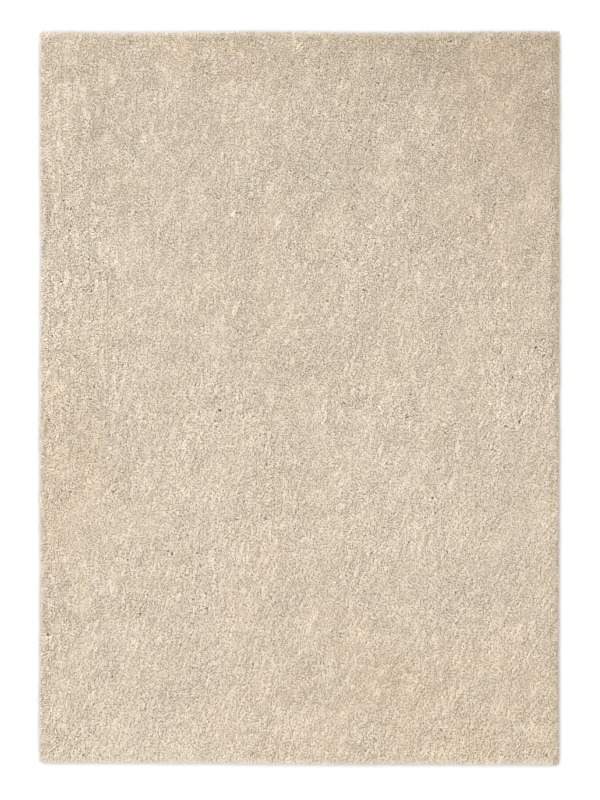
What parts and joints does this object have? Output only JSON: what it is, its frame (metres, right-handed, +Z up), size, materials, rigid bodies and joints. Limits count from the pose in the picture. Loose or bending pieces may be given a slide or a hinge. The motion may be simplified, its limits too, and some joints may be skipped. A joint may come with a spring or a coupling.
{
  "type": "shag rug",
  "caption": "Rectangular cut-pile shag rug in plain cream yarn, lying flat, with uneven pile and locks of yarn standing out along its rim.",
  "frame": {"origin": "middle of the rug's outline, on the floor under it", "axes": "+X is the rug's width, +Y is its length and +Z is up from the floor, out of the pile"},
  "size_m": [1.7252, 2.4272, 0.0303],
  "materials": {
    "yarn": "matt cream yarn in cut tufts, with a soft sheen along the fibres"
  },
  "bodies": {
    "root": {"shag_pile": "yarn"}
  },
  "joints": []
}
